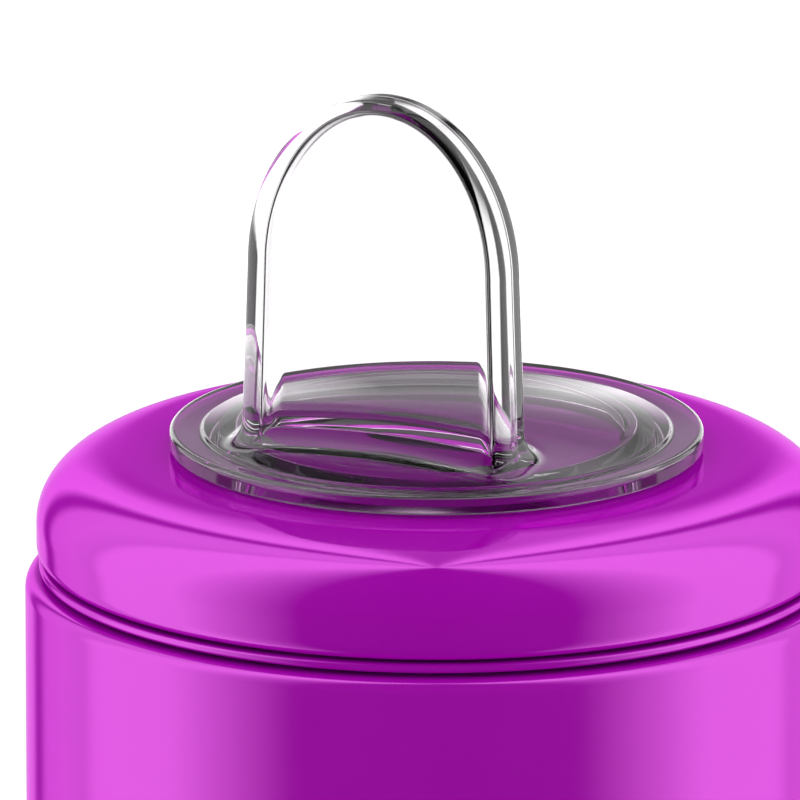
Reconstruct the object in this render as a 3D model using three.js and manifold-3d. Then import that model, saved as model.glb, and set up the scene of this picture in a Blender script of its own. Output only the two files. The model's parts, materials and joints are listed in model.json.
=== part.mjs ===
// Kids' insulated water bottle with a clear drinking spout.
// Millimetres, +Z up. The origin is the middle of the base, and the lips meet the spout from the -Y side.
import * as THREE from 'three';
import { mergeVertices } from 'three/addons/utils/BufferGeometryUtils.js';
import Module from 'manifold-3d';

const wasm = await Module();
wasm.setup();

// ---- driving dimensions -------------------------------------------------------------
const fit = 0.3;               // gap between parts that touch
const bottleRadius = 36;       // outside of the outer shell
const shoulderTop = 140.2;     // top face of the outer shell, under the lid
const sheetSteel = 1.0;        // wall of the shell and the liner
const linerRadius = 33.6;      // outside of the inner vessel
const linerFloor = 7;          // underside of the inner vessel
const neckRadius = 29.4;       // outside of the neck, under its thread
const neckTop = 146.4;
const neckWall = 1.2;
const gasketTop = neckTop + 0.9;

const threadPitch = 3.6;
const threadDepth = 1.1;
const threadStart = 141.5;     // height of the neck thread's first turn
const threadDrop = 1.5;        // the lid's thread sits this far under the neck's
const threadSteps = 40;        // per turn

const lidRadius = 35;
const lidTop = 151.2;
const lidFlat = 27;            // radius of the flat top, where the shoulder begins
const lidShoulder = 6.4;       // height of the shoulder's elliptical round
const lidWall = 1.2;
const coreTop = lidTop - lidWall - 0.4;
const ventOffset = 23.4;       // the vent is behind the axis
const ventRadius = 1.3;
const trimRadius = 34.8;       // narrow ring between lid and bottle
const trimInner = 31.9;
const trimBottom = 140.6;
const trimTop = 141.4;

const spoutSeat = 151.5;       // underside of the spout's flange
const flangeRadius = 23.35;
const flangeRound = 0.9;       // half the flange's rim thickness
const domeRadius = 20.5;       // the shallow dome inside the flange
const domeRise = 2.4;
const spoutWall = 1.2;
const plugRadius = 18.6;       // round tube under the dome that plugs into the lid
const plugBottom = 145;
const plugGap = 0.4;           // running gap round the plug
const sealBottom = 146.4;      // groove in the collar for the plug's seal
const sealTop = 148.2;
const sealDepth = 1.4;

const tongueOffset = 11;       // the tongue stands this far forward of the axis
const tongueHalfWidth = 12.8;  // at its foot
const tongueTaper = 0.5;       // each side leans in this much by the start of the tip
const tongueThickness = 5.8;
const tongueRound = 1.8;       // rounding of the tongue's long edges
const tongueSide = 0.5;        // extra thickness of its side walls
const tongueTop = 185.3;
const archHeight = 15.5;       // height of the tongue's elliptical tip
const slitLength = 3;          // drinking slit across the crown of the tip
const slitWidth = 0.3;

const cageBottom = 143.4;      // the valve, from its perforated cage up to its clamping cap
const cagePlate = 1.3;
const cageTop = 147.2;
const cageWall = 1.7;
const membraneSeat = 145.2;
const capBottom = 146.6;
const capTop = 151.0;           // level with the lid, so the disc looks closed under the dome
const capWall = 1.2;
const capOpening = 6.2;        // radius of the cap's hole
const cageHoles = 6;

const purple = { color: 0x9c22a4, roughness: 0.16, metalness: 0.5 };
const steel = { color: 0xb9bcc0, roughness: 0.3, metalness: 1 };
const clear = { color: 0xf6f4f8, roughness: 0.04, metalness: 0 };
const silicone = { color: 0xe9e6ea, roughness: 0.6, metalness: 0 };
const glass = { color: 0x333d4c, roughness: 0.2, metalness: 0 };
const purplePlastic = { color: 0x5c1860, roughness: 0.4, metalness: 0 };
const purpleSilicone = { color: 0x6b3373, roughness: 0.6, metalness: 0 };

// ---- helpers ------------------------------------------------------------------------

// Points on an elliptical arc in the radius-height plane, angles in degrees.
function arc(centreR, centreZ, sizeR, sizeZ, from, to, steps) {
  const points = [];
  for (let i = 0; i <= steps; i += 1) {
    const angle = THREE.MathUtils.degToRad(from + ((to - from) * i) / steps);
    points.push([centreR + sizeR * Math.cos(angle), centreZ + sizeZ * Math.sin(angle)]);
  }
  return points;
}

// A body of revolution about Z. The outline runs counter-clockwise, with the radius to the right.
function turned(outline, segments = 40) {
  const points = outline.map(([r, z]) => new THREE.Vector2(r, z));
  if (outline[0][0] > 0) points.push(points[0].clone());
  return new THREE.LatheGeometry(points, segments).rotateX(Math.PI / 2);
}

function ring(innerR, outerR, bottom, top, segments = 36) {
  return turned([[innerR, bottom], [outerR, bottom], [outerR, top], [innerR, top]], segments);
}

function disc(radius, bottom, top, segments = 24) {
  return turned([[0, bottom], [radius, bottom], [radius, top], [0, top]], segments);
}

function solid(geometry) {
  const bare = geometry.clone();
  bare.deleteAttribute('normal');
  bare.deleteAttribute('uv');
  const merged = mergeVertices(bare, 1e-4);
  const vertProperties = new Float32Array(merged.attributes.position.array);
  const triVerts = new Uint32Array(merged.index.array);
  return new wasm.Manifold(new wasm.Mesh({ numProp: 3, vertProperties, triVerts }));
}

function surface(manifold) {
  const mesh = manifold.getMesh();
  const geometry = new THREE.BufferGeometry();
  geometry.setAttribute('position', new THREE.BufferAttribute(mesh.vertProperties, 3));
  geometry.setIndex(new THREE.BufferAttribute(mesh.triVerts, 1));
  geometry.computeVertexNormals();
  return geometry;
}

function piece(name, geometry, finish) {
  const mesh = new THREE.Mesh(geometry, new THREE.MeshStandardMaterial(finish));
  mesh.name = name;
  return mesh;
}

// ---- threads ------------------------------------------------------------------------

class Helix extends THREE.Curve {
  constructor(radius, startZ, turns) {
    super();
    Object.assign(this, { radius, startZ, turns });
  }

  getPoint(t, target = new THREE.Vector3()) {
    const angle = 2 * Math.PI * this.turns * t;
    const z = this.startZ + threadPitch * this.turns * t;
    return target.set(this.radius * Math.cos(angle), this.radius * Math.sin(angle), z);
  }
}

// A trapezoid ridge wound round a wall: side +1 stands out from the wall, -1 points inwards.
function threadRidge(wallRadius, side, startTurn, startZ, turns) {
  const rootHalf = 0.7;
  const crestHalf = 0.4;
  const sunk = 0.4 * side;
  const crest = -threadDepth * side;
  const section = new THREE.Shape([
    new THREE.Vector2(sunk, -rootHalf), new THREE.Vector2(crest, -crestHalf),
    new THREE.Vector2(crest, crestHalf), new THREE.Vector2(sunk, rootHalf),
  ]);
  const extrudePath = new Helix(wallRadius, startZ, turns);
  return new THREE.ExtrudeGeometry(section, { steps: threadSteps * turns, extrudePath })
    .rotateZ(2 * Math.PI * startTurn);
}

// ---- bottle -------------------------------------------------------------------------

function outerShell() {
  const inside = bottleRadius - sheetSteel;
  return turned([
    [30.6, 1.2],
    ...arc(32, 5.2, 4, 4, -90, 0, 5),
    ...arc(bottleRadius - 1.3, shoulderTop - 1.3, 1.3, 1.3, 0, 90, 4),
    [neckRadius + fit, shoulderTop],
    [neckRadius + fit, shoulderTop - sheetSteel],
    [inside - 1.2, shoulderTop - sheetSteel],
    [inside, shoulderTop - 2.2],
    ...arc(32, 5.2, 4 - sheetSteel, 4 - sheetSteel, 0, -90, 3),
    [30.6, 2.2],
  ], 48);
}

// The inner vessel and its neck are one drawn piece, with the thread rolled into the neck.
function innerLiner() {
  const inside = linerRadius - sheetSteel;
  const mouth = neckRadius - neckWall;
  const shoulder = 133;
  const vessel = turned([
    [0, linerFloor],
    ...arc(linerRadius - 6, linerFloor + 6, 6, 6, -90, 0, 4),
    ...arc(neckRadius, shoulder, linerRadius - neckRadius, 4.6, 0, 90, 3),
    ...arc(neckRadius - 0.6, neckTop - 0.6, 0.6, 0.6, 0, 90, 2),
    [mouth, neckTop],
    [mouth, shoulder + 3.4],
    [inside, shoulder - 1.2],
    ...arc(linerRadius - 6, linerFloor + 6, 6 - sheetSteel, 6 - sheetSteel, 0, -90, 4),
    [0, linerFloor + sheetSteel],
  ]);
  const ridge = solid(threadRidge(neckRadius, 1, 0, threadStart, 1));
  return surface(solid(vessel).add(ridge));
}

function bottomPlate() {
  return turned([[0.7, 2.5], [32.5, 2.5], [32.5, 3.4], [0.7, 3.4]], 36);
}

function sealingBead() {
  return turned([[0, 3.7], [1.8, 3.7], [1.2, 4.5], [0, 4.7]], 12);
}

function getter() {
  return disc(4, 3.7, 4.7).translate(16, 0, 0);
}

// Grip ring in the recess of the base; its flat underside is what the bottle stands on.
function basePad() {
  return turned([
    [18, 0], [29.2, 0], [30, 0.8], [30, 2.2], [17.2, 2.2], [17.2, 0.8],
  ]);
}

// ---- lid ----------------------------------------------------------------------------

function lidShell() {
  const wallBottom = trimTop + fit;
  const inside = lidRadius - lidWall;
  const shoulderFoot = lidTop - lidShoulder;
  const cover = turned([
    [0, lidTop - lidWall],
    ...arc(lidFlat, shoulderFoot, inside - lidFlat, lidShoulder - lidWall, 90, 0, 4),
    [inside, wallBottom],
    [lidRadius - 0.9, wallBottom],
    [lidRadius - 0.25, wallBottom + 0.55],
    [lidRadius, wallBottom + 1.3],
    ...arc(lidFlat, shoulderFoot, lidRadius - lidFlat, lidShoulder, 0, 90, 9),
    [0, lidTop],
  ], 48);
  const hole = disc(plugRadius + plugGap, lidTop - 3, lidTop + 1, 48);
  return surface(solid(cover).subtract(solid(hole)));
}

function lidTrim() {
  const middle = (trimBottom + trimTop) / 2;
  const half = (trimTop - trimBottom) / 2;
  return turned([
    [trimInner, trimBottom],
    ...arc(trimRadius - half, middle, half, half, -90, 90, 4),
    [trimInner, trimTop],
  ], 48);
}

// Threaded insert: skirt with the inner thread, ceiling, and the collar that takes the spout's plug.
function lidCore() {
  const skirtOuter = lidRadius - lidWall - fit;
  const skirtInner = neckRadius + threadDepth + 0.5;
  const ceiling = gasketTop + fit;
  const collarRadius = plugRadius + plugGap;
  const lidTurn = 0.7;
  const body = turned([
    [0, ceiling],
    [25.6, ceiling],
    [25.6, gasketTop - 0.4],
    [26.3, gasketTop - 0.4],
    [26.3, ceiling],
    [skirtInner, ceiling],
    [skirtInner, trimTop + fit],
    [skirtOuter, trimTop + fit],
    [skirtOuter, coreTop - 5],
    [32.6, coreTop - 3],
    [31, coreTop - 1.1],
    [29.6, coreTop - 0.5],
    [27.5, coreTop],
    [0, coreTop],
  ]);
  const ridge = threadRidge(skirtInner, -1, lidTurn, threadStart + threadPitch * lidTurn - threadDrop, 0.8);
  const collar = disc(collarRadius + 2.2, plugBottom, coreTop - 0.5, 40);
  const hole = disc(collarRadius, plugBottom - 1, coreTop + 1, 40);
  const groove = ring(collarRadius - 0.5, plugRadius + sealDepth, sealBottom, sealTop, 40);
  const ventHole = disc(ventRadius, neckTop, lidTop, 16).translate(0, ventOffset, 0);
  return surface(solid(body)
    .add(solid(ridge))
    .add(solid(collar))
    .subtract(solid(hole))
    .subtract(solid(groove))
    .subtract(solid(ventHole)));
}

function lidGasket() {
  return ring(26.7, 30.5, neckTop + fit, gasketTop);
}

function ventValve() {
  return turned([
    [0, gasketTop - 0.7], [1.8, gasketTop - 0.5], [1.9, gasketTop - 0.1], [0.8, gasketTop],
    [0.8, coreTop - 0.1], [0, coreTop],
  ], 16).translate(0, ventOffset, 0);
}

// ---- spout --------------------------------------------------------------------------

const flangeTop = spoutSeat + 2 * flangeRound;
const bore = plugRadius - spoutWall;

// Round flange with the shallow dome on it, and the plug tube under it.
function spoutFlange() {
  const rimR = flangeRadius - flangeRound;
  return turned([
    [bore, plugBottom],
    [plugRadius, plugBottom],
    [plugRadius, spoutSeat],
    ...arc(rimR, spoutSeat + flangeRound, flangeRound, flangeRound, -90, 90, 6),
    [domeRadius + 0.35, flangeTop],
    ...arc(0, flangeTop - 0.15, domeRadius, domeRise, 0, 90, 6),
    ...arc(0, flangeTop - 1.4, bore, domeRise - 0.2, 90, 0, 6),
  ], 48);
}

// Outline of the tongue seen from the front: leaning sides and an elliptical tip.
function archShape(halfWidth, bottom, top, tipHeight) {
  const shape = new THREE.Shape();
  const tipWidth = halfWidth - tongueTaper;
  shape.moveTo(-halfWidth, bottom);
  shape.lineTo(halfWidth, bottom);
  shape.lineTo(tipWidth, top - tipHeight);
  shape.absellipse(0, top - tipHeight, tipWidth, tipHeight, 0, Math.PI, false, 0);
  shape.lineTo(-halfWidth, bottom);
  return shape;
}

// The tongue's outer body (inset 0) or its hollow (inset by the wall).
function tongue(inset, sideInset, bottom) {
  const round = tongueRound - inset;
  const depth = tongueThickness - 2 * tongueRound;
  const shape = archShape(tongueHalfWidth - tongueRound - sideInset, bottom, tongueTop - tongueRound,
    archHeight - tongueRound);
  const geometry = new THREE.ExtrudeGeometry(shape, {
    depth, bevelThickness: round, bevelSize: round, bevelSegments: 3, curveSegments: 12,
  });
  return geometry.rotateX(Math.PI / 2).translate(0, depth / 2 - tongueOffset, 0);
}

// Low oval root that carries the tongue on the dome.
function tongueRoot() {
  const shape = new THREE.Shape();
  shape.absellipse(0, 2.6 - tongueOffset, 13.4, 8.2, 0, 2 * Math.PI, false, 0);
  return new THREE.ExtrudeGeometry(shape, {
    depth: 1.2, bevelThickness: 1, bevelSize: 1, bevelSegments: 1, curveSegments: 16,
  }).translate(0, 0, flangeTop + 0.7);
}

// One hollow moulding, open from the plug up to the slit in its tip.
function spout() {
  const slit = new THREE.BoxGeometry(slitLength, slitWidth, 2 * tongueRound)
    .translate(0, -tongueOffset, tongueTop);
  return surface(solid(spoutFlange())
    .add(solid(tongueRoot()))
    .add(solid(tongue(0, 0, flangeTop + 1.7)))
    .subtract(solid(tongue(spoutWall, tongueSide, flangeTop - 1.3)))
    .subtract(solid(slit)));
}

function spoutSeal() {
  return ring(plugRadius + fit, plugRadius + sealDepth - fit, sealBottom + fit, sealTop - fit, 40);
}

// ---- valve under the spout ----------------------------------------------------------

const cageRadius = bore - fit;
const cageInside = cageRadius - cageWall;

function valveCage() {
  const plateTop = cageBottom + cagePlate;
  const cup = turned([
    [0, cageBottom], [plugRadius, cageBottom], [plugRadius, plateTop], [cageRadius, plateTop],
    [cageRadius, cageTop], [cageInside, cageTop], [cageInside, plateTop], [0, plateTop],
  ], 36);
  let body = solid(cup);
  for (let i = 0; i < cageHoles; i += 1) {
    const hole = disc(3.2, cageBottom - 1, plateTop + 1, 16)
      .translate(9.6, 0, 0)
      .rotateZ((2 * Math.PI * i) / cageHoles);
    body = body.subtract(solid(hole));
  }
  return surface(body);
}

// Silicone disc with a raised dome and a cross cut that opens when the child drinks.
function valveMembrane() {
  const edge = cageInside - fit;
  const skin = 1;
  const disk = turned([
    [0, membraneSeat + 1], [5, membraneSeat], [edge, membraneSeat],
    [edge, membraneSeat + skin], [5.5, membraneSeat + skin], [0, membraneSeat + skin + 1],
  ], 32);
  const cut = new THREE.BoxGeometry(7, 0.2, 4).translate(0, 0, membraneSeat + 1.4);
  const cross = cut.clone().rotateZ(Math.PI / 2);
  return surface(solid(disk).subtract(solid(cut)).subtract(solid(cross)));
}

// Lacquered cover that clamps the membrane and rests on the cage's wall.
function valveCap() {
  const rest = cageTop + fit;
  const edge = cageInside - fit;
  const under = capTop - capWall;
  return turned([
    [edge - capWall, capBottom], [edge, capBottom], [edge, rest], [cageRadius, rest],
    [cageRadius, capTop], [capOpening, capTop], [capOpening, under], [edge - capWall, under],
  ], 40);
}

// ---- assembly -----------------------------------------------------------------------

const bottle = new THREE.Group();
bottle.add(
  piece('outer_shell', outerShell(), purple),
  piece('inner_liner', innerLiner(), steel),
  piece('bottom_plate', bottomPlate(), steel),
  piece('getter', getter(), steel),
  piece('sealing_bead', sealingBead(), glass),
  piece('base_pad', basePad(), purpleSilicone),
  piece('lid_shell', lidShell(), purple),
  piece('lid_trim', lidTrim(), purple),
  piece('lid_core', lidCore(), purplePlastic),
  piece('lid_gasket', lidGasket(), silicone),
  piece('vent_valve', ventValve(), silicone),
  piece('spout', spout(), clear),
  piece('spout_seal', spoutSeal(), silicone),
  piece('valve_cage', valveCage(), purplePlastic),
  piece('valve_membrane', valveMembrane(), purpleSilicone),
  piece('valve_cap', valveCap(), purple),
);

export default bottle;
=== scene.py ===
import json
import math

import bmesh
import bpy
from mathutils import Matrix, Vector


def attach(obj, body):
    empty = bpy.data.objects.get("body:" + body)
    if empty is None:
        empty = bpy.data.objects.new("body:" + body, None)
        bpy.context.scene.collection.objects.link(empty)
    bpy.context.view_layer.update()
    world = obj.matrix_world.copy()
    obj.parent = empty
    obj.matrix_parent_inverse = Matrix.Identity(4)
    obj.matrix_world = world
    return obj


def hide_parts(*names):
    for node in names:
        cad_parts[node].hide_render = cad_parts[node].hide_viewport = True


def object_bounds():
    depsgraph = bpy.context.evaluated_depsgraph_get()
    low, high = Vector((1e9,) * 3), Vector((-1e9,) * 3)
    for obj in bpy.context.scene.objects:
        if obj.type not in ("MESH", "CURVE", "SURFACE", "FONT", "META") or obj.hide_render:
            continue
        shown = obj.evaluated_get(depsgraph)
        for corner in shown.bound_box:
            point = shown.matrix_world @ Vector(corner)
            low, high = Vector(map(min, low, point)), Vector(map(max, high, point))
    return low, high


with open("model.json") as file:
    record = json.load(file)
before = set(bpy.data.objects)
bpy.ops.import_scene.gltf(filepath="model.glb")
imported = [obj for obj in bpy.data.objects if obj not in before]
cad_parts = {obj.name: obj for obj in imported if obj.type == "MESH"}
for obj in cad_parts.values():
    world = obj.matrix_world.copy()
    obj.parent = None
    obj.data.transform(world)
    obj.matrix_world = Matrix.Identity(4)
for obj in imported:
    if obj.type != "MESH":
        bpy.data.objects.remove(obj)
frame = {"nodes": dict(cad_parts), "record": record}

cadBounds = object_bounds()
mm = 0.001
mergeGap = 1e-7        # metres


class Wire:
    # a shader value that takes part in ordinary sums
    def __init__(self, graph, socket):
        self.graph = graph
        self.socket = socket

    def sum(self, operation, *values):
        return self.graph.node("ShaderNodeMath", {"operation": operation}, *values)[0]

    def __add__(self, other):
        return self.sum("ADD", self, other)

    def __radd__(self, other):
        return self.sum("ADD", other, self)

    def __sub__(self, other):
        return self.sum("SUBTRACT", self, other)

    def __rsub__(self, other):
        return self.sum("SUBTRACT", other, self)

    def __mul__(self, other):
        return self.sum("MULTIPLY", self, other)

    def __rmul__(self, other):
        return self.sum("MULTIPLY", other, self)

    def __truediv__(self, other):
        return self.sum("DIVIDE", self, other)

    def __pow__(self, other):
        return self.sum("POWER", self, other)


class Graph:
    # the node tree of a material or of the world
    def __init__(self, owner):
        owner.use_nodes = True
        self.tree = owner.node_tree
        self.tree.nodes.clear()

    def node(self, kind, settings=None, *values, **named):
        made = self.tree.nodes.new(kind)
        for key, value in (settings or {}).items():
            if key == "stops":
                self.setStops(made.color_ramp, value)
            else:
                setattr(made, key, value)
        for key, value in list(enumerate(values)) + list(named.items()):
            spot = key if isinstance(key, int) else key.replace("_", " ")
            if value is None:
                continue
            if isinstance(value, Wire):
                self.tree.links.new(value.socket, made.inputs[spot])
            else:
                made.inputs[spot].default_value = value
        return [Wire(self, socket) for socket in made.outputs]

    def setStops(self, ramp, stops):
        while len(ramp.elements) < len(stops):
            ramp.elements.new(1.0)
        for element, (position, color) in zip(ramp.elements, stops):
            element.position = position
            element.color = color if len(color) == 4 else (*color, 1)


def grey(value):
    return (value, value, value, 1)


def startMaterial(name):
    material = bpy.data.materials.new(name)
    return material, Graph(material)


def objectNoise(graph, scale, detail=2.0, stretch=(1, 1, 1)):
    # fine variation in metres, stretched along the axes
    place = graph.node("ShaderNodeTexCoord")[3]
    placed = graph.node("ShaderNodeMapping", None, place, Scale=stretch)[0]
    return graph.node("ShaderNodeTexNoise", None, placed, Scale=scale, Detail=detail)[0]


def finishMaterial(graph, **sockets):
    shader = graph.node("ShaderNodeBsdfPrincipled", None, **sockets)[0]
    graph.node("ShaderNodeOutputMaterial", None, shader)


lacquer = {
    "deep": (0.335, 0.0012, 0.37),
    "light": (0.355, 0.002, 0.39),
    "sheen": (0.94, 0.22, 0.91),    # what the metallic layer reflects
    "sheenEdge": (0.97, 0.5, 0.96),
    "sheenShare": 0.23,
}


def candyLacquer(name, roughness):
    # purple lacquer: a deep matte ground under a tinted mirror, with a little orange peel
    material, graph = startMaterial(name)
    cloud = objectNoise(graph, 60, 3)
    peel = objectNoise(graph, 900, 1)
    stops = [(0.3, lacquer["deep"]), (0.7, lacquer["light"])]
    tint = graph.node("ShaderNodeValToRGB", {"stops": stops}, cloud)[0]
    bump = graph.node("ShaderNodeBump", None, Strength=0.015, Distance=0.0001, Height=peel)[0]
    ground = graph.node(
        "ShaderNodeBsdfPrincipled", None, Base_Color=tint, Roughness=0.6,
        Specular_IOR_Level=0.0)[0]
    mirror = graph.node(
        "ShaderNodeBsdfPrincipled", None, Base_Color=(*lacquer["sheen"], 1), Metallic=1.0,
        Specular_Tint=(*lacquer["sheenEdge"], 1), Roughness=cloud * 0.04 + (roughness - 0.02),
        Normal=bump)[0]
    both = graph.node("ShaderNodeMixShader", None, lacquer["sheenShare"], ground, mirror)[0]
    graph.node("ShaderNodeOutputMaterial", None, both)
    return material


def clearPlastic():
    material, graph = startMaterial("clearCopolyester")
    smear = objectNoise(graph, 90, 2)
    finishMaterial(
        graph, Base_Color=(0.985, 0.975, 0.985, 1), Transmission_Weight=1.0, IOR=1.5,
        Specular_IOR_Level=0.3, Roughness=smear * 0.02)
    return material


def brushedSteel():
    material, graph = startMaterial("brushedSteel")
    grain = objectNoise(graph, 400, 3, (1, 1, 18))
    bump = graph.node("ShaderNodeBump", None, Strength=0.08, Distance=0.0001, Height=grain)[0]
    finishMaterial(
        graph, Base_Color=(0.62, 0.63, 0.65, 1), Metallic=1.0, Roughness=grain * 0.16 + 0.2,
        Normal=bump)
    return material


def mouldedPlastic(name, color, roughness):
    material, graph = startMaterial(name)
    grain = objectNoise(graph, 1500, 2)
    bump = graph.node("ShaderNodeBump", None, Strength=0.1, Distance=0.0001, Height=grain)[0]
    finishMaterial(
        graph, Base_Color=(*color, 1), Roughness=grain * 0.12 + (roughness - 0.06), IOR=1.49,
        Normal=bump)
    return material


def siliconeRubber(name, color):
    material, graph = startMaterial(name)
    grain = objectNoise(graph, 700, 3)
    finishMaterial(
        graph, Base_Color=(*color, 1), Roughness=grain * 0.2 + 0.45, IOR=1.41,
        Subsurface_Weight=0.25, Subsurface_Scale=0.002)
    return material


finishes = {
    "bodyLacquer": candyLacquer("bodyLacquer", 0.13),
    "lidLacquer": candyLacquer("lidLacquer", 0.08),
    "clear": clearPlastic(),
    "steel": brushedSteel(),
    "purplePlastic": mouldedPlastic("purplePolypropylene", (0.11, 0.012, 0.125), 0.35),
    "silicone": siliconeRubber("milkySilicone", (0.8, 0.79, 0.82)),
    "purpleSilicone": siliconeRubber("purpleSilicone", (0.16, 0.03, 0.19)),
    "getterMetal": mouldedPlastic("getterMetal", (0.2, 0.2, 0.21), 0.7),
    "sealingGlass": mouldedPlastic("sealingGlass", (0.05, 0.07, 0.1), 0.15),
}
print("materials made:", len(finishes))


def arc(centreR, centreZ, sizeR, sizeZ, fromDeg, toDeg, steps):
    points = []
    for i in range(steps + 1):
        angle = math.radians(fromDeg + (toDeg - fromDeg) * i / steps)
        points.append((centreR + sizeR * math.cos(angle), centreZ + sizeZ * math.sin(angle)))
    return points


def finishPiece(name, bm, body, finish, replaced, sharpDeg=35):
    bmesh.ops.remove_doubles(bm, verts=bm.verts, dist=mergeGap)
    bmesh.ops.recalc_face_normals(bm, faces=bm.faces)
    mesh = bpy.data.meshes.new(name)
    bm.to_mesh(mesh)
    bm.free()
    mesh.shade_smooth()
    mesh.set_sharp_from_angle(angle=math.radians(sharpDeg))
    piece = bpy.data.objects.new(name, mesh)
    bpy.context.collection.objects.link(piece)
    mesh.materials.append(finishes[finish])
    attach(piece, body)
    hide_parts(replaced)
    print("piece", name, len(mesh.polygons), "faces")
    return piece


def spun(outline, steps=192):
    # a closed outline in millimetres, radius then height, spun round Z
    bm = bmesh.new()
    corners = [bm.verts.new((r * mm, 0, z * mm)) for r, z in outline]
    edges = [bm.edges.new(pair) for pair in zip(corners, corners[1:])]
    if outline[0][0] > 0:
        edges.append(bm.edges.new((corners[-1], corners[0])))
    bmesh.ops.spin(
        bm, geom=corners + edges, cent=(0, 0, 0), axis=(0, 0, 1), angle=math.tau,
        steps=steps, use_merge=True)
    return bm


def circleRing(radius, z, count):
    turns = [math.tau * k / count for k in range(count)]
    return [(radius * math.cos(t), radius * math.sin(t), z) for t in turns]


def loft(bm, rings, capped=False):
    # a skin through rings of equal counts; its ends are capped, or joined to each other
    loop = bmesh.ops.create_circle(bm, segments=len(rings[0]), radius=mm)["verts"]
    edges = list({edge for vert in loop for edge in vert.link_edges})
    firstEdges = list(edges)
    for vert, place in zip(loop, rings[0]):
        vert.co = Vector(place) * mm
    for ring in rings[1:]:
        made = set(bmesh.ops.extrude_edge_only(bm, edges=edges)["geom"])
        nextLoop = []
        for vert in loop:
            across = [edge.other_vert(vert) for edge in vert.link_edges]
            nextLoop.append([other for other in across if other in made][0])
        loop = nextLoop
        rim = set(loop)
        edges = [g for g in made if isinstance(g, bmesh.types.BMEdge) and set(g.verts) <= rim]
        for vert, place in zip(loop, ring):
            vert.co = Vector(place) * mm
    if capped:
        bmesh.ops.contextual_create(bm, geom=firstEdges)
        bmesh.ops.contextual_create(bm, geom=edges)
    else:
        bmesh.ops.bridge_loops(bm, edges=firstEdges + edges)


thread = {
    "pitch": 3.6,
    "depth": 1.1,
    "rootHalf": 0.7,
    "crestHalf": 0.4,
    "start": 141.5,
    "drop": 1.5,
    "sunk": 0.3,
    "fade": 0.07,        # share of a turn over which the ridge runs out
}


def addThread(bm, wallRadius, side, startTurn, startZ, turns):
    s = thread
    rings = []
    count = round(turns * 96)
    for i in range(count + 1):
        turn = turns * i / count
        ending = min(turn, turns - turn) / s["fade"]
        deep = s["depth"] * min(1.0, 0.15 + ending)
        angle = math.tau * (turn + startTurn)
        z = startZ + s["pitch"] * turn
        corners = [(-s["sunk"], -s["rootHalf"]), (0, -s["rootHalf"]),
                   (deep - 0.15, -s["crestHalf"] - 0.06), (deep, -s["crestHalf"] + 0.1),
                   (deep, s["crestHalf"] - 0.1), (deep - 0.15, s["crestHalf"] + 0.06),
                   (0, s["rootHalf"]), (-s["sunk"], s["rootHalf"])]
        reach = [(wallRadius + side * out, z + up) for out, up in corners]
        rings.append([(r * math.cos(angle), r * math.sin(angle), h) for r, h in reach])
    loft(bm, rings, capped=True)


shell = {
    "radius": 36.0,
    "top": 140.2,
    "wall": 1.0,
    "edgeRound": 1.3,
    "footRound": 4.0,
    "footBottom": 1.2,
    "footInner": 30.6,
    "neckHole": 29.7,
}


def makeShell():
    s = shell
    radius, wall, foot = s["radius"], s["wall"], s["footRound"]
    footZ = s["footBottom"] + foot
    edge = s["edgeRound"]
    inside = radius - wall
    return spun([
        (s["footInner"], s["footBottom"]),
        *arc(radius - foot, footZ, foot, foot, -90, 0, 14),
        *arc(radius - edge, s["top"] - edge, edge, edge, 0, 90, 10),
        (s["neckHole"], s["top"]),
        (s["neckHole"], s["top"] - wall),
        *arc(inside - 1.2, s["top"] - wall - 1.2, 1.2, 1.2, 90, 0, 4),
        *arc(radius - foot, footZ, foot - wall, foot - wall, 0, -90, 8),
        (s["footInner"], s["footBottom"] + wall),
    ], 256)


liner = {
    "radius": 33.6,
    "floor": 7.0,
    "cornerRound": 6.0,
    "shoulder": 133.0,
    "shoulderRise": 4.6,
    "neckRadius": 29.4,
    "neckTop": 146.4,
    "neckWall": 1.2,
    "neckFoot": 3.6,         # where the neck's bore begins, above the shoulder
    "innerDrop": 1.2,
    "wall": 1.0,
}


def makeLiner():
    s = liner
    corner, wall, neck = s["cornerRound"], s["wall"], s["neckRadius"]
    inside = s["radius"] - wall
    mouth = neck - s["neckWall"]
    lip = s["neckWall"] / 2
    middle = s["radius"] - corner
    bm = spun([
        (0, s["floor"]),
        *arc(middle, s["floor"] + corner, corner, corner, -90, 0, 12),
        *arc(neck, s["shoulder"], s["radius"] - neck, s["shoulderRise"], 0, 90, 12),
        *arc(neck - lip, s["neckTop"] - lip, lip, lip, 0, 180, 12),
        *arc(mouth + 1, s["shoulder"] + s["neckFoot"], 1, 0.8, 180, 250, 4),
        *arc(neck, s["shoulder"] - s["innerDrop"], inside - neck, s["shoulderRise"], 80, 0, 10),
        *arc(middle, s["floor"] + corner, corner - wall, corner - wall, 0, -90, 10),
        (0, s["floor"] + wall),
    ])
    addThread(bm, neck, 1, 0, thread["start"], 1)
    return bm


base = {
    "plate": (0.7, 32.5, 2.5, 3.4),
    "plateSteps": (12, 13, 20, 21),
    "stepRise": 0.1,
    "plateRound": 0.2,
    "padInner": 17.2,
    "padFlat": (18.0, 29.2),
    "padOuter": 30.0,
    "padHeight": 2.2,
    "padRound": 0.3,
    "padDip": 0.8,
    "grooves": (22.0, 24.8),
    "grooveHalf": 0.4,
    "grooveDepth": 0.3,
}


def makePlate():
    inner, outer, bottom, top = base["plate"]
    first, second, third, fourth = base["plateSteps"]
    step, edge = base["stepRise"], base["plateRound"]
    return spun([
        (inner, bottom + step), (inner + step, bottom), (first, bottom), (second, bottom + step),
        (third, bottom + step), (fourth, bottom), (outer - edge, bottom), (outer, bottom + edge),
        (outer, top - edge), (outer - edge, top), (fourth, top), (third, top + step),
        (second, top + step), (first, top), (inner + step, top), (inner, top - step),
    ])


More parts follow.
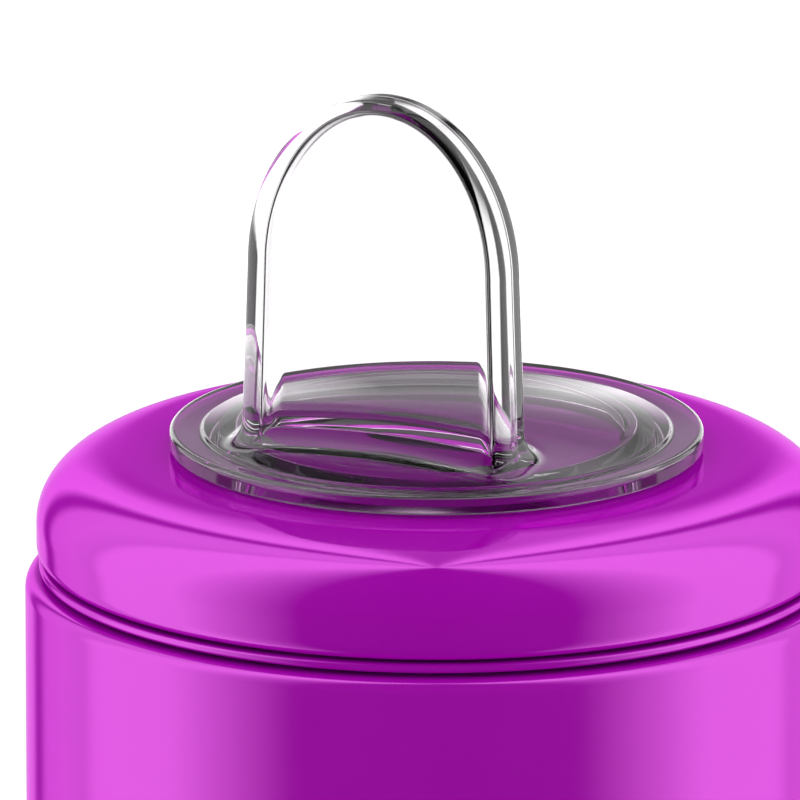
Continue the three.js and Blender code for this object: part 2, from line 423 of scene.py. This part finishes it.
def makePad():
    s = base
    flatIn, flatOut = s["padFlat"]
    high, dip, edge, half = s["padHeight"], s["padDip"], s["padRound"], s["grooveHalf"]
    groove = ((0, 0), (half, s["grooveDepth"]), (2 * half, 0))
    return spun([
        *arc(flatIn, dip, flatIn - s["padInner"], dip, 180, 270, 6),
        *[(start + out, up) for start in s["grooves"] for out, up in groove],
        *arc(flatOut, dip, s["padOuter"] - flatOut, dip, -90, 0, 6),
        *arc(s["padOuter"] - edge, high - edge, edge, edge, 0, 90, 4),
        *arc(s["padInner"] + edge, high - edge, edge, edge, 90, 180, 4),
    ])


getterDish = {
    "radius": 4.0,
    "dishRadius": 3.0,
    "bottom": 3.7,
    "top": 4.7,
    "edge": 0.2,
    "dishDepth": 0.15,
    "away": 16.0,
}


def makeGetter():
    s = getterDish
    radius, dish, edge = s["radius"], s["dishRadius"], s["edge"]
    bottom, top = s["bottom"], s["top"]
    bm = spun([
        (0, bottom), (radius - edge, bottom), (radius, bottom + edge), (radius, top - edge),
        (radius - edge, top), (dish + edge, top), (dish, top - s["dishDepth"]),
        (0, top - s["dishDepth"]),
    ], 64)
    bmesh.ops.translate(bm, verts=bm.verts, vec=(s["away"] * mm, 0, 0))
    return bm


bead = {"bottom": 3.7, "middle": 3.75, "radius": 1.8, "rise": 0.95}


def makeBead():
    s = bead
    return spun([(0, s["bottom"]), *arc(0, s["middle"], s["radius"], s["rise"], 0, 90, 8)], 48)


finishPiece("outerShell", makeShell(), "bottle", "bodyLacquer", "outer_shell")
finishPiece("innerLiner", makeLiner(), "bottle", "steel", "inner_liner")
finishPiece("bottomPlate", makePlate(), "bottle", "steel", "bottom_plate")
finishPiece("basePad", makePad(), "bottle", "purpleSilicone", "base_pad")
finishPiece("getter", makeGetter(), "bottle", "getterMetal", "getter")
finishPiece("sealingBead", makeBead(), "bottle", "sealingGlass", "sealing_bead")


lid = {
    "radius": 35.0,
    "top": 151.2,
    "flat": 27.0,
    "shoulder": 6.4,
    "wall": 1.2,
    "bottom": 141.7,
    "underRound": 1.3,
    "holeRadius": 19.0,
}


def makeLid():
    s = lid
    radius, wall = s["radius"], s["wall"]
    foot = s["top"] - s["shoulder"]
    inside = radius - wall
    return spun([
        (inside, s["bottom"] + 0.2),
        (inside + 0.15, s["bottom"]),
        *arc(radius - 0.95, s["bottom"] + s["underRound"], 0.95, s["underRound"], -90, 0, 8),
        *arc(s["flat"], foot, radius - s["flat"], s["shoulder"], 0, 90, 40),
        *arc(s["holeRadius"] + 0.15, s["top"] - 0.15, 0.15, 0.15, 90, 180, 3),
        (s["holeRadius"], s["top"] - wall),
        *arc(s["flat"], foot, inside - s["flat"], s["shoulder"] - wall, 90, 0, 16),
    ], 256)


trim = {"inner": 31.9, "radius": 34.8, "bottom": 140.6, "top": 141.4}


def makeTrim():
    s = trim
    half = (s["top"] - s["bottom"]) / 2
    middle = s["bottom"] + half
    return spun([
        (s["inner"], s["bottom"]),
        *arc(s["radius"] - half, middle, half, half, -90, 90, 10),
        (s["inner"], s["top"]),
    ], 256)


core = {
    "top": 149.6,
    "ceiling": 147.6,
    "wallGap": 25.6,          # groove that keeps the gasket in
    "grooveFloor": 146.9,
    "skirtInner": 31.0,
    "skirtOuter": 33.5,
    "bottom": 141.7,
    "collarInner": 19.0,
    "collarOuter": 21.2,
    "collarBottom": 145.0,
    "sealGroove": (20.0, 146.4, 148.2),
    "shoulder": ((33.5, 144.6), (32.6, 146.6), (31.0, 148.5), (29.6, 149.1), (27.5, 149.6)),
}


def makeCore():
    s = core
    inner, outer, ceiling = s["collarInner"], s["collarOuter"], s["ceiling"]
    deep, low, high = s["sealGroove"]
    bm = spun([
        (s["wallGap"], ceiling), (s["wallGap"] + 0.1, s["grooveFloor"]),
        (s["wallGap"] + 0.6, s["grooveFloor"]), (s["wallGap"] + 0.7, ceiling),
        (s["skirtInner"] - 0.4, ceiling), (s["skirtInner"], ceiling - 0.4),
        *arc(s["skirtInner"] + 0.4, s["bottom"] + 0.4, 0.4, 0.4, 180, 270, 4),
        *arc(s["skirtOuter"] - 0.4, s["bottom"] + 0.4, 0.4, 0.4, -90, 0, 4),
        *s["shoulder"],
        (inner, s["top"]), (inner, high), (deep, high), (deep, low), (inner, low),
        *arc(inner + 0.3, s["collarBottom"] + 0.3, 0.3, 0.3, 180, 270, 4),
        *arc(outer - 0.3, s["collarBottom"] + 0.3, 0.3, 0.3, -90, 0, 4),
        *arc(outer + 0.5, ceiling - 0.5, 0.5, 0.5, 180, 90, 4),
    ])
    startZ = thread["start"] + 0.7 * thread["pitch"] - thread["drop"]
    addThread(bm, s["skirtInner"], -1, 0.7, startZ, 0.8)
    return bm


gasket = {
    "middle": 147.0,
    "halfHeight": 0.3,
    "edgeRound": 0.25,
    "innerEdge": 26.95,
    "outerEdge": 30.25,
    "groove": (28.0, 28.8),
    "grooveSlope": 0.2,
    "grooveDepth": 0.1,
}


def makeGasket():
    s = gasket
    middle, half, edge, slope = s["middle"], s["halfHeight"], s["edgeRound"], s["grooveSlope"]
    low = middle - half
    deep = low + s["grooveDepth"]
    start, end = s["groove"]
    return spun([
        *arc(s["innerEdge"], middle, edge, half, 90, 270, 6),
        (start, low), (start + slope, deep), (end - slope, deep), (end, low),
        *arc(s["outerEdge"], middle, edge, half, -90, 90, 6),
    ])


vent = {
    "offset": 23.4,
    "underside": 146.6,
    "underRadius": 1.2,
    "underRise": 0.05,
    "lip": (1.6, 147.0, 0.3),
    "stemRadius": 0.8,
    "stemBottom": 147.35,
    "stemTop": 149.35,
    "stemRound": 0.25,
}


def makeVent():
    s = vent
    under, stem, tip, edge = s["underside"], s["stemRadius"], s["stemTop"], s["stemRound"]
    lipRadius, lipZ, lipRound = s["lip"]
    bm = spun([
        (0, under), (s["underRadius"], under + s["underRise"]),
        *arc(lipRadius, lipZ, lipRound, lipRound, -70, 70, 6), (stem, s["stemBottom"]),
        (stem, tip), *arc(stem - edge, tip, edge, edge, 0, 90, 4), (0, tip + edge),
    ], 48)
    bmesh.ops.translate(bm, verts=bm.verts, vec=(0, s["offset"] * mm, 0))
    return bm


seal = {"radius": 19.3, "height": 147.3, "halfWidth": 0.4, "halfHeight": 0.6, "sides": 16}


def makeSeal():
    s = seal
    around = 360 - 360 / s["sides"]
    return spun(
        arc(s["radius"], s["height"], s["halfWidth"], s["halfHeight"], 0, around, s["sides"] - 1),
        128)


finishPiece("lidShell", makeLid(), "lid", "lidLacquer", "lid_shell")
finishPiece("lidTrim", makeTrim(), "lid", "lidLacquer", "lid_trim")
finishPiece("lidCore", makeCore(), "lid", "purplePlastic", "lid_core")
finishPiece("lidGasket", makeGasket(), "gasket", "silicone", "lid_gasket")
finishPiece("ventValve", makeVent(), "lid", "silicone", "vent_valve")
finishPiece("spoutSeal", makeSeal(), "lid", "silicone", "spout_seal")


spout = {
    "offset": 11.0,         # the tongue is forward of the axis
    "halfWidth": 12.3,
    "lean": 0.5,            # each side leans out this much down to the foot
    "halfDepth": 2.9,
    "edgeRound": 1.8,
    "archStart": 169.8,
    "archHeight": 15.5,
    "wall": 1.2,
    "sideWall": 1.7,
    "slitHalf": (1.0, 0.1),
    "foot": 2.0,            # fillet round the tongue's foot
    "domeRadius": 20.5,
    "domeEdge": 153.22,
    "domeRise": 2.3,
    "domeWall": 1.1,
    "flangeRadius": 23.35,
    "flangeBottom": 151.5,
    "flangeTop": 153.25,
    "plugRadius": 18.6,
    "plugBore": 17.4,
    "plugBottom": 145.0,
    "plugRound": 0.3,
    "innerFoot": 0.6,
    "domeRound": 0.25,
    "groove": (0.35, 0.18, 0.3, 0.12),      # out from the dome, down, half width, half depth
    "flangeRound": (0.5, 0.45),
    "around": 240,
    "crownDeg": 75,         # the flat crown ends this far up the arch
    "crownRings": 10,
    "archRings": 30,
    "sideRings": 12,
    "footRings": 12,
}


def evenRing(places, count):
    # the same closed line with its points at equal steps
    closed = places + places[:1]
    steps = [(b - a).length for a, b in zip(closed, closed[1:])]
    stride = sum(steps) / count
    ring = []
    along, i = 0.0, 0
    for k in range(count):
        while i < len(steps) - 1 and along + steps[i] < k * stride:
            along += steps[i]
            i += 1
        part = (k * stride - along) / max(steps[i], 1e-9)
        ring.append(closed[i].lerp(closed[i + 1], min(part, 1.0)))
    return ring


def tongueSize(hollow):
    s = spout
    inset, sideInset = (s["wall"], s["sideWall"]) if hollow else (0, 0)
    return (s["halfWidth"] - sideInset, s["halfDepth"] - inset, s["edgeRound"] - inset,
            s["archHeight"] - inset)


def tongueSection(hollow, rise, spread=0.0):
    # level outline of the tongue; rise is 0 where the arch begins and 1 at its top
    wide, deep, edge, _ = tongueSize(hollow)
    wide += spread
    span = math.sqrt(max(1 - rise * rise, 0))
    half = []
    for i in range(361):
        x = math.cos(math.pi * i / 360) * span
        rho = math.hypot(x, rise)
        into = max(rho * wide - (wide - edge), 0) / edge
        half.append(Vector((x * wide, deep - edge + edge * math.sqrt(max(1 - into * into, 0)))))
    mirrored = [Vector((p.x, -p.y)) for p in reversed(half)]
    outline = [Vector((wide * span, 0))] + half + [Vector((-wide * span, 0))] + mirrored
    return evenRing(outline, spout["around"])


def crownRise(hollow, x, y):
    wide, deep, edge, _ = tongueSize(hollow)
    into = max(abs(y) - (deep - edge), 0) / edge
    rho = (wide - edge + edge * math.sqrt(max(1 - into * into, 0))) / wide
    return math.sqrt(max(rho * rho - (x / wide) ** 2, 0))


def domeHeight(x, y):
    reach = math.hypot(x, y) / spout["domeRadius"]
    return spout["domeEdge"] + spout["domeRise"] * (1 - reach * reach)


def outward(ring):
    # level normals of a counter-clockwise ring
    sides = [b - a for a, b in zip(ring[-1:] + ring[:-1], ring[1:] + ring[:1])]
    return [Vector((side.y, -side.x)).normalized() for side in sides]


def tongueRings(hollow, skin, foot, circle, steps):
    # rings from the slit down the tongue, round its foot and over the dome to a circle
    s = spout
    height = tongueSize(hollow)[3]
    offset = Vector((0, -s["offset"]))
    turns = [math.tau * k / s["around"] for k in range(s["around"])]
    slit = [Vector((math.cos(t) * s["slitHalf"][0], math.sin(t) * s["slitHalf"][1])) for t in turns]
    crown = tongueSection(hollow, math.sin(math.radians(s["crownDeg"])))
    rings = []
    for i in range(s["crownRings"]):
        flat = [a.lerp(b, i / s["crownRings"]) for a, b in zip(slit, crown)]
        rings.append([(p.x, p.y - s["offset"],
                       s["archStart"] + height * crownRise(hollow, p.x, p.y)) for p in flat])
    for i in range(s["archRings"] + 1):
        rise = math.sin(math.radians(s["crownDeg"] * (1 - i / s["archRings"])))
        level = s["archStart"] + height * rise
        rings.append([(*(p + offset), level) for p in tongueSection(hollow, rise)])
    section = tongueSection(hollow, 0, s["lean"])
    starts = [domeHeight(*(p + offset)) - skin + foot for p in section]
    for i in range(1, s["sideRings"]):
        down = i / s["sideRings"]
        leaning = tongueSection(hollow, 0, s["lean"] * down)
        rings.append([(*(p + offset), s["archStart"] + (z - s["archStart"]) * down)
                      for p, z in zip(leaning, starts)])
    normals = outward(section)
    ends = []
    for i in range(s["footRings"] + 1):
        sweep = math.radians(90) * i / s["footRings"]
        ends = [p + offset + n * foot * (1 - math.cos(sweep)) for p, n in zip(section, normals)]
        rings.append([(*p, domeHeight(*p) - skin + foot * (1 - math.sin(sweep))) for p in ends])
    rim = [Vector((circle * math.cos(t), circle * math.sin(t))) for t in turns]
    for i in range(1, steps + 1):
        flat = [a.lerp(b, i / steps) for a, b in zip(ends, rim)]
        rings.append([(*p, domeHeight(*p) - skin) for p in flat])
    return rings


def makeSpout():
    s = spout
    dome, domeRound, foot = s["domeRadius"], s["domeRound"], s["innerFoot"]
    top, bottom, bore = s["flangeTop"], s["flangeBottom"], s["plugBore"]
    plug, edge, plugEnd = s["plugRadius"], s["plugRound"], s["plugBottom"] + s["plugRound"]
    grooveOut, grooveDown, grooveWide, grooveDeep = s["groove"]
    flangeWide, flangeHigh = s["flangeRound"]
    outer = tongueRings(False, 0.0, s["foot"], dome - domeRound, 14)
    inner = tongueRings(True, s["domeWall"], foot, bore - foot, 8)
    underZ = domeHeight(bore, 0) - s["domeWall"]
    rim = [
        *arc(dome - domeRound, s["domeEdge"] - 0.2, domeRound, domeRound, 80, 10, 4),
        *arc(dome + grooveOut, top - grooveDown, grooveWide, grooveDeep, 200, 280, 4),
        *arc(s["flangeRadius"] - flangeWide, top - flangeHigh, flangeWide, flangeHigh, 95, 0, 8),
        *arc(s["flangeRadius"] - edge, bottom + edge, edge, edge, 0, -90, 6),
        *arc(plug + 0.2, bottom - 0.2, 0.2, 0.2, 90, 180, 3),
        *arc(plug - edge, plugEnd, edge, edge, 0, -90, 4),
        *arc(bore + edge, plugEnd, edge, edge, -90, -180, 4),
        *arc(bore - foot, underZ - foot, foot, foot, 0, 80, 5),
    ]
    rings = outer + [circleRing(r, z, s["around"]) for r, z in rim] + inner[::-1]
    bm = bmesh.new()
    loft(bm, rings)
    return bm


cap = {
    "radius": 17.1,
    "top": 151.0,
    "underside": 149.8,
    "edgeRound": 0.2,
    "holeRadius": 6.2,
    "holeRound": 0.6,
    "ring": (13.9, 15.1, 146.6),        # the ring that holds the membrane down
    "step": 147.5,
}


def makeCap():
    # lacquered cover of the valve, level with the lid
    s = cap
    ringIn, ringOut, ringBottom = s["ring"]
    radius, top, edge, hole, soft = (
        s["radius"], s["top"], s["edgeRound"], s["holeRadius"], s["holeRound"])
    return spun([
        (ringIn, ringBottom), (ringOut, ringBottom), (ringOut, s["step"]), (radius, s["step"]),
        *arc(radius - edge, top - edge, edge, edge, 0, 90, 4),
        *arc(hole + soft, top - soft, soft, soft, 90, 180, 8),
        (hole, s["underside"]), (ringIn, s["underside"]),
    ])


finishPiece("clearSpout", makeSpout(), "spout", "clear", "spout", 60)
finishPiece("valveCap", makeCap(), "valve", "lidLacquer", "valve_cap")


slotFinish = {
    "steel": "steel",
    "getter_metal": "getterMetal",
    "sealing_glass": "sealingGlass",
    "purple_plastic": "purplePlastic",
    "silicone": "silicone",
    "purple_silicone": "purpleSilicone",
    "body_lacquer": "bodyLacquer",
    "lid_lacquer": "lidLacquer",
    "clear_plastic": "clear",
}
for part in frame["record"]["subparts"]:
    node = frame["nodes"][part["node"]]
    node.data.materials.clear()
    node.data.materials.append(finishes[slotFinish[part["material_slot"]]])
    node.data.shade_smooth()
    node.data.set_sharp_from_angle(angle=math.radians(30))


view = {
    "azimuth": 25.0,
    "elevation": 15.0,
    "fieldHeight": 69.87,      # millimetres seen at the bottle's axis
    "distance": 1550.0,
    "aim": (0, 0, 151.7),
    "aside": -3.2,
    "above": 3.76,
    "sensor": 36,
    "clip": (0.05, 50),
}


def makeCamera():
    az, el = math.radians(view["azimuth"]), math.radians(view["elevation"])
    back = Vector((math.sin(az) * math.cos(el), -math.cos(az) * math.cos(el), math.sin(el)))
    turn = (-back).to_track_quat("-Z", "Y")
    right, up = turn @ Vector((1, 0, 0)), turn @ Vector((0, 1, 0))
    aim = Vector(view["aim"]) + right * view["aside"] + up * view["above"]
    data = bpy.data.cameras.new("camera")
    data.sensor_width = view["sensor"]
    data.lens = view["sensor"] * view["distance"] / view["fieldHeight"]
    data.clip_start, data.clip_end = view["clip"]
    camera = bpy.data.objects.new("camera", data)
    camera.location = (aim + back * view["distance"]) * mm
    camera.rotation_mode = "QUATERNION"
    camera.rotation_quaternion = turn
    bpy.context.collection.objects.link(camera)
    bpy.context.scene.camera = camera


table = {"radius": 8, "sides": 96, "tone": 0.93, "roughness": 0.9}


def makeFloor():
    bm = bmesh.new()
    bmesh.ops.create_circle(bm, cap_ends=True, segments=table["sides"], radius=table["radius"])
    mesh = bpy.data.meshes.new("floor")
    bm.to_mesh(mesh)
    bm.free()
    floor = bpy.data.objects.new("floor", mesh)
    floor.location = (0, 0, cadBounds[0].z)
    bpy.context.collection.objects.link(floor)
    material, graph = startMaterial("paleFloor")
    finishMaterial(graph, Base_Color=grey(table["tone"]), Roughness=table["roughness"])
    mesh.materials.append(material)
    floor.visible_glossy = False
    floor.visible_transmission = False


# brightness of the studio by degrees from the camera's side, set for that one side: lamps are
# what glossy surfaces show, room is what clear plastic shows, and ambient lights all the rest
studio = {
    "lamps": [(0, 0.02), (40, 0.04), (62, 1.2), (80, 2.15), (110, 2.2), (116, 1.5),
              (128, 1.75), (142, 1.7), (147, 0.15), (151, 0.15), (156, 2.3), (164, 2.1),
              (172, 1.1), (180, 0.9)],
    "backdrop": [(0, 2.1), (0.09, 1.8), (0.2, 0.8), (0.36, 0.35), (0.43, 0.4), (0.55, 1.05),
                 (0.77, 0.75), (0.94, 0.42)],
    "room": [(0, 0.02), (60, 0.04), (104, 0.02), (134, 0.03), (137, 1.3), (180, 1.3)],
    "roomAbove": 0.07,       # share of the room's light that comes from above the table
    "ambient": 1.06,
    "scale": 3.0,            # brightest value that a ramp can give
    "behind": (164, 173),    # angles over which the backdrop's heights come in
    "notch": (176.5, 179),   # dim strip low in the middle of the backdrop
    "notchHeight": (0.1, 0.25),
    "notchDepth": 0.85,
    "tableLine": (-0.12, 0.05),
}


def ramp(graph, place, stops):
    grown = [(position, grey(level / studio["scale"])) for position, level in stops]
    return graph.node("ShaderNodeValToRGB", {"stops": grown}, place)[0] * studio["scale"]


def between(graph, place, start, end, atStart=0.0, atEnd=1.0):
    return graph.node(
        "ShaderNodeMapRange", None, place, From_Min=start, From_Max=end, To_Min=atStart,
        To_Max=atEnd)[0]


def glow(graph, strength):
    return graph.node("ShaderNodeBackground", None, Color=grey(1), Strength=strength)[0]


def makeWorld():
    world = bpy.data.worlds.new("studio")
    bpy.context.scene.world = world
    graph = Graph(world)
    way = graph.node("ShaderNodeTexCoord")[0]
    x, y, z = graph.node("ShaderNodeSeparateXYZ", None, way)
    az = math.radians(view["azimuth"])
    towards = x * math.sin(az) - y * math.cos(az)
    aside = x * math.cos(az) + y * math.sin(az)
    flat = (towards * towards + aside * aside + 1e-6) ** 0.5
    facing = towards / flat
    angle = facing.sum("ARCCOSINE", facing) / math.pi
    behind = between(graph, angle, *[d / 180 for d in studio["behind"]])
    heights = ramp(graph, z, studio["backdrop"])
    lamps = ramp(graph, angle, [(d / 180, level) for d, level in studio["lamps"]])
    centre = between(graph, angle, *[d / 180 for d in studio["notch"]])
    lowDown = between(graph, z, *studio["notchHeight"], studio["notchDepth"], 0.0)
    lamps = lamps * ((heights - 1) * behind + 1) * (1 - centre * lowDown)
    low = between(graph, z, *studio["tableLine"], 1.0, studio["roomAbove"])
    room = ramp(graph, angle, [(d / 180, level) for d, level in studio["room"]]) * low
    rays = {wire.socket.name: wire for wire in graph.node("ShaderNodeLightPath")}
    plain = rays["Is Camera Ray"] + rays["Diffuse Depth"]
    plain = plain.sum("MINIMUM", plain, 1.0)
    bent = rays["Is Transmission Ray"]
    shown = graph.node("ShaderNodeMixShader", None, bent, glow(graph, lamps), glow(graph, room))[0]
    even = glow(graph, studio["ambient"])
    both = graph.node("ShaderNodeMixShader", None, plain, shown, even)[0]
    graph.node("ShaderNodeOutputWorld", None, both)


makeCamera()
makeFloor()
makeWorld()
scene = bpy.context.scene
scene.view_settings.view_transform = "Standard"
scene.cycles.max_bounces = 16
scene.cycles.transmission_bounces = 12
scene.cycles.glossy_bounces = 8
